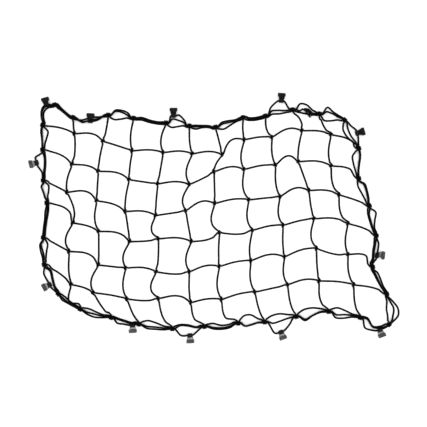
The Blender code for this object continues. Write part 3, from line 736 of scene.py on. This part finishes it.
def border_turns(poses, net):
    """The two turns of the border cord, from the tie's right side to its left."""
    cells = [(TIE_CELL + step) % len(EDGE) for step in range(1, len(EDGE))]
    left, right = TIE_TURNS
    high = [(0.0, point, None) for point in tie_port(right)]
    high += cell_controls(TIE_CELL, SECOND, HIGH_TURN)[-1:]
    for cell in cells:
        high += cell_controls(cell, SECOND, HIGH_TURN)
    high += cell_controls(TIE_CELL, FIRST, HIGH_TURN)
    high += cell_controls(TIE_CELL + 1, FIRST, LOW_TURN)[:2]
    low = []
    for cell in cells:
        low += cell_controls(cell, FIRST, LOW_TURN, poses.get(cell))
    low += cell_controls(TIE_CELL, SECOND, LOW_TURN)[:3]
    low += [(1.0, point, None) for point in reversed(tie_port(left))]

    eyes = []
    for pose in poses.values():
        for along in np.linspace(-EYE_HALF_WIDTH, EYE_HALF_WIDTH, EYE_SAMPLES):
            eyes.append((*(pose @ Vector((0.0, along, 0.0))), EYE_RADIUS + STACK / 2))
    low_line = turn_line(low, net)
    high_line = turn_line(high, np.vstack((net, widened(low_line, STACK), eyes)))
    return squeezed(high_line, HIGH_TURN, HIGH_TIGHT), squeezed(low_line, LOW_TURN, LOW_TIGHT)


def border_cord(poses, net):
    """The whole border cord, from one loose end to the other."""
    high, low = border_turns(poses, net)
    right, left = [placed(points, TIE, turned(0.0)) for points in (TIE_RIGHT, TIE_LEFT)]
    first_end, last_end = [loose_end(angle, net) for angle in TIE_ENDS]
    start = [(first_end[::-1], False), (right[::-1], True), (high[:-2], False)]
    return chained([*start, (low[2:], False), (left, True), (last_end, False)])


# --- Meshes ---

# Past each end of a cord: how far its rounding goes, and how wide it still is
CAP = ((0.5, 0.92), (0.9, 0.6))
# The baking map lays the cords out in rows, with their cut ends in its corner.
ROW_MARGIN = 1.12  # height of a row, over the cord's girth
ROW_START, ROW_LENGTH = 0.01, 0.97  # as shares of the map's width
ROW_SPARE = 1.02  # room for the rounded ends
END_CORNER, END_SIZE = 0.985, 0.01


def add_object(name, data):
    obj = bpy.data.objects.new(name, data)
    bpy.context.scene.collection.objects.link(obj)
    return obj


def cord_rings(line):
    """The corners of each section of a cord, kept from twisting as it bends."""
    middle = line[:, :3]
    ways = np.gradient(middle, axis=0)
    ways /= norm(ways, axis=1)[:, None]
    side = unit(np.cross(UP, ways[0]))
    angles = math.tau * (np.arange(CORD_SIDES) + 0.5) / CORD_SIDES
    rings = np.empty((len(line), CORD_SIDES, 3))
    for place, way in enumerate(ways):
        side = unit(side - (side @ way) * way)
        above = np.cross(way, side)
        spoke = np.cos(angles)[:, None] * side + np.sin(angles)[:, None] * above
        rings[place] = middle[place] + line[place, 3] * spoke
    rings[..., 2] = np.maximum(rings[..., 2], FLOOR_CLEAR)
    return rings


def capped(line):
    """A cord with rounded ends."""
    ends = []
    for end, before in ((line[0], line[1]), (line[-1], line[-2])):
        way = unit((end - before)[:3])
        ends.append([(*(end[:3] + reach * way), width * end[3]) for reach, width in CAP])
    return np.vstack((ends[0][::-1], line, ends[1]))


def baking_places(start, stop, total):
    """Where the stretch between two lengths lies on a square map of rows."""
    girth = math.tau * CORD_RADIUS * ROW_MARGIN
    row_length = math.sqrt(total * girth)
    rows = math.ceil(total / row_length) + 1
    row = math.floor(start / row_length)
    ends = [ROW_START + ROW_LENGTH * (length / row_length - row) for length in (start, stop)]
    return ends, row / rows, (row + 1 / ROW_MARGIN) / rows


def rectangle(left, right, low, high):
    """The four corners of a face on a map, in the order of its vertices."""
    return [(left, low), (left, high), (right, high), (right, low)]


def cord_mesh(name, cords, finish):
    """One object of swept cords.

    The map "along" gives the length along the cord in millimetres and the share
    of the way round it, and "OFBake" is the map for baking.
    """
    verts, faces, along, baking = [], [], [], []
    total = sum(step_lengths(cord).sum() for cord in cords)
    run = 0.0
    count = 0
    for cord in map(capped, cords):
        verts.append(cord_rings(cord).reshape(-1, 3))
        for place, length in enumerate(step_lengths(cord)):
            (left, right), low, high = baking_places(run, run + length, total * ROW_SPARE)
            first = count + place * CORD_SIDES
            beyond = first + CORD_SIDES
            for side in range(CORD_SIDES):
                after = (side + 1) % CORD_SIDES
                faces.append((first + side, first + after, beyond + after, beyond + side))
                shares = (side / CORD_SIDES, (side + 1) / CORD_SIDES)
                along += rectangle(run, run + length, *shares)
                baking += rectangle(left, right, *[low + share * (high - low) for share in shares])
            run += length
        for ring, order in ((0, -1), (len(cord) - 1, 1)):
            corners = range(count + ring * CORD_SIDES, count + (ring + 1) * CORD_SIDES)
            faces.append(tuple(corners[::order]))
            for share in np.arange(CORD_SIDES) / CORD_SIDES:
                along.append((run, share))
                baking.append(END_CORNER + END_SIZE * (0.5 + 0.5 * turned(math.tau * share)))
        count += len(cord) * CORD_SIDES
    mesh = bpy.data.meshes.new(name)
    mesh.from_pydata(np.vstack(verts) * MM, [], faces)
    for title, places in (("along", along), ("OFBake", baking)):
        layer = mesh.uv_layers.new(name=title)
        layer.data.foreach_set("uv", np.array(places, dtype=np.float32).ravel())
    mesh.shade_smooth()
    mesh.materials.append(finish)
    obj = add_object(name, mesh)
    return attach(obj, "root")


# --- Hooks ---

ARC_STEP = 15  # degrees between the points of a hook's round parts
SMALL_ARC_STEP = 30  # the same in its fillet and at the lip's end
SEAT_SHARES = (0.33, 0.67, 1.0)  # where the seat's side view has points
BACK_STEPS = 8
EDGE_ROUND = 0.8  # radius of its moulded edges
EDGE_STEPS = 4  # sections across one of them
FLAT_SHARE = 1 - EDGE_ROUND / EYE_HALF_WIDTH  # of its half width, between them
RIBS = 5
RIB_STEPS = 6  # sections across one rib
RIB_DEPTH = 0.8  # of the grooves between ribs
RIB_FADE = 4.0  # length in which the ribs rise behind the eye
BACK_RIBBED = 0.7 - EYE_RADIUS  # the shank is ribbed below this height
CURL_RIBBED = CURL_MIDDLE + 4  # the curl is ribbed beyond this length
LIP_RIBBED = (LIP_END + 1, 1.5)  # and the lip beyond this length and height
SKIN_EDGE = 0.3  # how far each skin reaches past the edge of its part
FLANK = 0.9  # least sideways part of the normal of a face on a flank
# The throat's and the lip's skins carry a painted reflection of the lamp in their lighter colour.
SMOOTH_PAINTED_REFLECTION, RIBBED, LIP_PAINTED_REFLECTION = range(3)  # the skins, in the order of their finishes
SHARP_TURN = radians(40)  # between two faces at a sharp edge


def arc(middle, radius, first, last, step=ARC_STEP):
    """Points on an arc in a hook's side view, between two angles in degrees."""
    steps = max(1, round(abs(last - first) / step))
    angles = np.radians(np.linspace(first, last, steps + 1))
    return [(middle[0] + radius * math.cos(a), middle[1] + radius * math.sin(a)) for a in angles]


def hook_outline():
    """A hook's side view: along the hook, and height above its eye's middle."""
    shank_top = SHANK_THICKNESS - EYE_RADIUS
    curl = (CURL_MIDDLE, 0.0)
    fillet = SEAT_START - EYE_RADIUS
    outline = arc((0.0, 0.0), EYE_RADIUS, 270, 0)
    outline += arc((SEAT_START, shank_top + fillet), fillet, 180, 270, SMALL_ARC_STEP)
    outline += [(SEAT_START + share * (SEAT_END - SEAT_START), shank_top) for share in SEAT_SHARES]
    outline += arc(curl, EYE_RADIUS - LIP_THICKNESS, -90, 90)
    lip_round = LIP_THICKNESS / 2
    lip_middle = (LIP_END + lip_round, EYE_RADIUS - lip_round)
    outline += arc(lip_middle, lip_round, 270, 90, SMALL_ARC_STEP)
    outline += arc(curl, EYE_RADIUS, 90, -90)
    back = np.linspace(CURL_MIDDLE, 0.0, BACK_STEPS + 1)[1:-1]
    return np.array(outline + [(along, -EYE_RADIUS) for along in back])


def outward(outline):
    """The unit normal of each corner of a closed line that runs clockwise."""
    edges = np.roll(outline, -1, axis=0) - outline
    edges /= norm(edges, axis=1)[:, None]
    ways = edges + np.roll(edges, 1, axis=0)
    ways /= norm(ways, axis=1)[:, None]
    return np.column_stack((-ways[:, 1], ways[:, 0]))


def half_width(along):
    """Half the hook's width at a distance from its eye."""
    return np.interp(along, (FAN_START, FAN_END), (EYE_HALF_WIDTH, FAN_HALF_WIDTH))


def rib_weight(along, height):
    """How strongly the hook's skin is ribbed at a point of its side view."""
    on_curl = along > CURL_RIBBED
    if height < 0 < along:
        return min(along / RIB_FADE, 1.0) if height < BACK_RIBBED or on_curl else 0.0
    outside = math.hypot(along - CURL_MIDDLE, height) > EYE_RADIUS - SKIN_EDGE
    on_lip = along > LIP_RIBBED[0] and height > LIP_RIBBED[1]
    return float(outside and (on_curl or on_lip))


def hook_sections():
    """(share of the half width, inset) of each section across a hook."""
    edge = []
    for turn in np.linspace(0, math.pi / 2, EDGE_STEPS):
        share = 1 - EDGE_ROUND * (1 - math.sin(turn)) / EYE_HALF_WIDTH
        edge.append((share, EDGE_ROUND * (1 - math.cos(turn))))
    inner = np.linspace(-FLAT_SHARE, FLAT_SHARE, RIBS * RIB_STEPS + 1)[1:-1]
    mirrored = [(-share, inset) for share, inset in edge[::-1]]
    return mirrored + [(share, 0.0) for share in inner] + edge


def skin(middle, normal):
    """Which of the skins covers a face of the hook; the lip and the smooth throat get the skins
    with a painted reflection in their lighter colour.
    """
    along, _, height = middle
    if along > LIP_END - SKIN_EDGE and height > EYE_RADIUS - LIP_THICKNESS - SKIN_EDGE:
        # the lip: its lighter colour is a painted reflection
        return LIP_PAINTED_REFLECTION
    above_shank = height > SHANK_THICKNESS - EYE_RADIUS - SKIN_EDGE
    in_curl = math.hypot(along - CURL_MIDDLE, height) < EYE_RADIUS - LIP_THICKNESS / 2
    in_throat = along > EYE_RADIUS - SKIN_EDGE and above_shank and (along < CURL_MIDDLE or in_curl)
    return SMOOTH_PAINTED_REFLECTION if in_throat and abs(normal.y) < FLANK else RIBBED


def hook_mesh():
    """The hook's mesh in its own axes, in millimetres."""
    outline = hook_outline()
    normals = outward(outline)
    hole = np.array(arc((0.0, 0.0), EYE_HOLE_RADIUS, 0, 360 - ARC_STEP))
    bm = bmesh.new()
    loops = []
    for share, inset in hook_sections():
        groove = 0.0
        if abs(share) < FLAT_SHARE:
            phase = math.tau * RIBS * (share + FLAT_SHARE) / (2 * FLAT_SHARE)
            groove = RIB_DEPTH * (0.5 - 0.5 * math.cos(phase))
        outer = []
        for place, normal in zip(outline, normals):
            x, height = place - (inset + groove * rib_weight(*place)) * normal
            outer.append(bm.verts.new((x, share * half_width(place[0]), height)))
        y = share * EYE_HALF_WIDTH
        bore = [bm.verts.new((x, y, z)) for x, z in hole * (1 + inset / EYE_HOLE_RADIUS)]
        loops.append((outer, bore))
    for rings, next_rings in zip(loops, loops[1:]):
        for ring, next_ring in zip(rings, next_rings):
            for (a, b), (c, d) in zip(around(ring), around(next_ring)):
                bm.faces.new((a, b, d, c))
    for flank in (loops[0], loops[-1]):
        edges = [bm.edges.get(pair) for ring in flank for pair in around(ring)]
        bmesh.ops.triangle_fill(bm, edges=edges, use_beauty=True)
    bmesh.ops.recalc_face_normals(bm, faces=bm.faces)
    for face in bm.faces:
        face.material_index = skin(face.calc_center_median(), face.normal)
        face.smooth = True
    return bm


def hook_pose(index, along, out, heading, roll):
    """A hook's matrix, in millimetres, with its lowest corner above the floor."""
    heading, roll = radians(heading), radians(roll)
    turn = Matrix.Rotation(heading, 4, "Z") @ Matrix.Rotation(roll, 4, "X")
    corners = []
    for x, height in hook_outline():
        corners += [Vector((x, side * half_width(x), height)) for side in (-1, 1)]
    lowest = min((turn @ corner).z for corner in corners)
    return Matrix.Translation((*beside(index, along, out), HOOK_FLOOR - lowest)) @ turn


def hook(number, pose, finishes):
    """One moulded hook in its place."""
    name = f"moulded_hook_{number:02d}"
    bm = hook_mesh()
    bmesh.ops.transform(bm, matrix=pose, verts=bm.verts)
    bmesh.ops.scale(bm, vec=(MM,) * 3, verts=bm.verts)
    mesh = bpy.data.meshes.new(name)
    bm.to_mesh(mesh)
    bm.free()
    mesh.set_sharp_from_angle(angle=SHARP_TURN)
    for finish in finishes:
        mesh.materials.append(finish)
    obj = add_object(name, mesh)
    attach(obj, "root")
    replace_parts(obj, f"hook_{number:02d}")


# --- Materials ---


class Nodes:
    """A material's node tree, with short ways to add and join nodes."""

    def __init__(self, name):
        self.material = bpy.data.materials.new(name)
        self.material.use_nodes = True
        self.tree = self.material.node_tree
        self.shader = self.tree.nodes["Principled BSDF"]
        self.place = self.add("ShaderNodeTexCoord").outputs["Object"]

    def add(self, kind, inputs=None, **settings):
        """A new node with these settings and inputs."""
        node = self.tree.nodes.new(kind)
        for key, value in settings.items():
            setattr(node, key, value)
        self.feed(node, inputs or {})
        return node

    def feed(self, node, inputs):
        """Joins or sets a node's inputs, given by name or number."""
        for key, value in inputs.items():
            if isinstance(value, bpy.types.NodeSocket):
                self.tree.links.new(value, node.inputs[key])
            else:
                node.inputs[key].default_value = value

    def math(self, operation, *values):
        inputs = dict(enumerate(values))
        return self.add("ShaderNodeMath", inputs, operation=operation).outputs[0]

    def noise(self, scale, detail):
        inputs = {"Vector": self.place, "Scale": scale, "Detail": detail}
        return self.add("ShaderNodeTexNoise", inputs).outputs["Fac"]

    def scaled(self, value, span, to_span=(0.0, 1.0)):
        """A value brought from one range to another."""
        inputs = dict(enumerate((value, *span, *to_span)))
        return self.add("ShaderNodeMapRange", inputs).outputs[0]

    def ramp(self, value, span, colours):
        """A colour for each end of a range, and the mixes between."""
        first, last = [(*colour, 1.0) for colour in colours]
        inputs = {0: self.scaled(value, span), 6: first, 7: last}
        return self.add("ShaderNodeMix", inputs, data_type="RGBA").outputs[2]

    def bump(self, height, distance, strength, **before):
        """Relief from a height, on top of the Normal before it if one is given."""
        inputs = {"Height": height, "Distance": distance, "Strength": strength, **before}
        return self.add("ShaderNodeBump", inputs).outputs[0]


NOISE_SPAN = (0.3, 0.7)  # of most values of a noise

# The cord's sheath. A noise has a scale and a detail, and a bump a distance in
# metres and a strength. The tones are factors of its lightness.
BRAID_STRANDS = 10  # each way round the cord
BRAID_PITCH = 15.0  # millimetres along the cord for one turn of a strand
CORD_COLOURS = ((0.002, 0.002, 0.0022), (0.014, 0.014, 0.015))
FIBRES, PATCHES = (2600.0, 2.0), (26.0, 3.0)
FIBRE_TONES, STRAND_TONES, PATCH_TONES = (0.55, 1.25), (0.75, 1.15), (0.7, 1.2)
TONE_SPAN = (0.0, 1.3)
STRAND_SHADE_POWER = 0.6  # under 1 keeps the painted shade between strands narrow
CORD_ROUGHNESS = (0.62, 0.82)
WEAVE_BUMP, FIBRE_BUMP = (0.0004, 0.8), (0.0001, 0.3)


def cord_finish():
    """Black braided sheath: strands that pass over and under each other, with painted shade
    darkening each strand towards its sides and in the gaps between them.
    """
    nodes = Nodes("braided_black_cord")
    along = nodes.add("ShaderNodeUVMap", uv_map="along").outputs[0]
    length, share, _ = nodes.add("ShaderNodeSeparateXYZ", {0: along}).outputs
    run = nodes.math("MULTIPLY", length, BRAID_STRANDS / BRAID_PITCH)
    girth = nodes.math("MULTIPLY", share, BRAID_STRANDS)
    first = nodes.math("ADD", girth, run)
    second = nodes.math("SUBTRACT", girth, run)
    cell = nodes.math("ADD", nodes.math("FLOOR", first), nodes.math("FLOOR", second))
    over = nodes.math("FLOORED_MODULO", cell, 2.0)
    shown = []
    for strand, on_top in ((first, over), (second, nodes.math("SUBTRACT", 1.0, over))):
        wave = nodes.math("SINE", nodes.math("MULTIPLY", strand, math.pi))
        shown.append(nodes.math("MULTIPLY", nodes.math("ABSOLUTE", wave), on_top))
    height = nodes.math("ADD", *shown)
    fibre = nodes.noise(*FIBRES)
    number = {"W": nodes.math("FLOOR", first)}
    own_tone = nodes.add("ShaderNodeTexWhiteNoise", number, noise_dimensions="1D")
    # painted shade: the base colour darkens with the braid's height, towards each strand's sides
    # and where it dips under its neighbours
    tone = nodes.math("POWER", height, STRAND_SHADE_POWER)
    for value, span, tones in (
        (fibre, NOISE_SPAN, FIBRE_TONES),
        (own_tone.outputs[0], (0.0, 1.0), STRAND_TONES),
        (nodes.noise(*PATCHES), NOISE_SPAN, PATCH_TONES),
    ):
        tone = nodes.math("MULTIPLY", tone, nodes.scaled(value, span, tones))
    weave = nodes.bump(height, *WEAVE_BUMP)
    looks = {
        "Base Color": nodes.ramp(tone, TONE_SPAN, CORD_COLOURS),
        "Roughness": nodes.scaled(fibre, NOISE_SPAN, CORD_ROUGHNESS),
        "Normal": nodes.bump(fibre, *FIBRE_BUMP, Normal=weave),
    }
    nodes.feed(nodes.shader, looks)
    nodes.shader.inputs["Specular IOR Level"].default_value = 0.1
    nodes.shader.inputs["Sheen Weight"].default_value = 0.03
    nodes.shader.inputs["Sheen Roughness"].default_value = 0.4
    return nodes.material


# The hook's skins: the smooth throat, the ribbed back with the eye, and the lip. All three are
# black nylon; the throat's and the lip's lighter colours are a painted reflection of the lamp.
# name, dark and light colour, least and most roughness, specular level
HOOK_FINISHES = (
    # painted reflection: the throat's light grey stands in for the lamp mirrored in its black nylon
    ("smooth_black_nylon", ((0.18, 0.18, 0.184), (0.29, 0.29, 0.296)), (0.2, 0.3), 1.0),
    ("ribbed_black_nylon", ((0.005, 0.005, 0.005), (0.024, 0.024, 0.025)), (0.38, 0.6), 0.32),
    # painted reflection: the lip's grey stands in for the lamp mirrored in its black nylon
    ("rubbed_black_nylon", ((0.05, 0.05, 0.052), (0.135, 0.135, 0.139)), (0.34, 0.5), 0.8),
)
FLOW, SPOTS, GRAIN = (90.0, 4.0), (420.0, 5.0), (2200.0, 2.0)
SPOT_SHARE = 0.3  # of the rubbed spots in the colour, beside the flow
COLOUR_SPAN = (0.35, 0.65)
GRAIN_BUMP = (0.00006, 0.5)


def hook_finish(name, colours, roughness, specular):
    """Moulded nylon: a faint flow in its colour, fine texture and rubbed spots."""
    nodes = Nodes(name)
    spots = nodes.noise(*SPOTS)
    flow = nodes.math("MULTIPLY", nodes.noise(*FLOW), 1 - SPOT_SHARE)
    mixed = nodes.math("ADD", flow, nodes.math("MULTIPLY", spots, SPOT_SHARE))
    looks = {
        "Base Color": nodes.ramp(mixed, COLOUR_SPAN, colours),
        "Roughness": nodes.scaled(spots, NOISE_SPAN, roughness),
        "Normal": nodes.bump(nodes.noise(*GRAIN), *GRAIN_BUMP),
    }
    nodes.feed(nodes.shader, looks)
    nodes.shader.inputs["Specular IOR Level"].default_value = specular
    return nodes.material


# --- Floor, lights and camera ---

CAMERA_PLACE = (-0.0011, 0.01525, 2.372)  # it looks straight down
CAMERA_LENS = 60.0
FLOOR_SIZE = 16.0
FLOOR_TINTS = ((0.86,) * 3, (0.88,) * 3)
FLOOR_MOTTLE = (3.0, 3.0)  # scale and detail
KEY_HEIGHT = 3.2
KEY_SIZE = (3.0, 2.3)
KEY_POWER = 76.0  # watts
SKY = 0.8  # strength of the white surroundings
VIEW_GAMMA = 0.66


def floor():
    bpy.ops.mesh.primitive_plane_add(size=FLOOR_SIZE)
    plane = bpy.context.object
    plane.name = "studio_floor"
    nodes = Nodes("pale_floor")
    tint = nodes.ramp(nodes.noise(*FLOOR_MOTTLE), NOISE_SPAN, FLOOR_TINTS)
    nodes.feed(nodes.shader, {"Base Color": tint})
    nodes.shader.inputs["Roughness"].default_value = 0.9
    nodes.shader.inputs["Specular IOR Level"].default_value = 0.1
    plane.data.materials.append(nodes.material)
    plane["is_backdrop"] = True


def studio():
    floor()
    light = bpy.data.lights.new("overhead_softbox", "AREA")
    light.shape = "RECTANGLE"
    light.size, light.size_y = KEY_SIZE
    light.energy = KEY_POWER
    add_object("overhead_softbox", light).location = (0.0, 0.0, KEY_HEIGHT)
    world = bpy.data.worlds.new("studio")
    world.use_nodes = True
    background = world.node_tree.nodes["Background"]
    background.inputs["Color"].default_value = (1.0, 1.0, 1.0, 1.0)
    background.inputs["Strength"].default_value = SKY
    scene = bpy.context.scene
    scene.world = world
    scene.view_settings.view_transform = "Standard"
    scene.view_settings.gamma = VIEW_GAMMA
    camera = bpy.data.cameras.new("camera")
    camera.lens = CAMERA_LENS
    scene.camera = add_object("camera", camera)
    scene.camera.location = CAMERA_PLACE


# --- The whole ---


def main():
    studio()
    knots, cords = net_lines()
    lines = {(start, end): line for start, _, end, _, line in cords}
    sheath = cord_finish()
    edge = [knots[name] for name in EDGE]
    rows = [[knots[column, row] for column in range(COLUMNS)] for row in range(1, ROWS - 1)]
    columns = [[knots[column, row] for row in range(ROWS)] for column in range(1, COLUMNS - 1)]
    crosswise = [mesh_cord(way, False, lines) for way in rows]
    lengthwise = [mesh_cord(way, True, lines) for way in columns]
    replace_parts(cord_mesh("crosswise_cords", crosswise, sheath), "net")
    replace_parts(cord_mesh("lengthwise_cords", lengthwise, sheath), "net")
    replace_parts(cord_mesh("selvedge_cord", [selvedge_cord(edge, lines)], sheath), "net")

    net = net_obstacles(knots, cords)
    poses = {row[0]: hook_pose(*row) for row in HOOKS}
    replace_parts(cord_mesh("wound_border_cord", [border_cord(poses, net)], sheath), "border_cord")

    finishes = [hook_finish(*row) for row in HOOK_FINISHES]
    for number, pose in enumerate(poses.values(), start=1):
        hook(number, pose, finishes)


main()
boxes = {"cad": cad_box, "visual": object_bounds()}
{key: [list(corner) for corner in box] for key, box in boxes.items()}
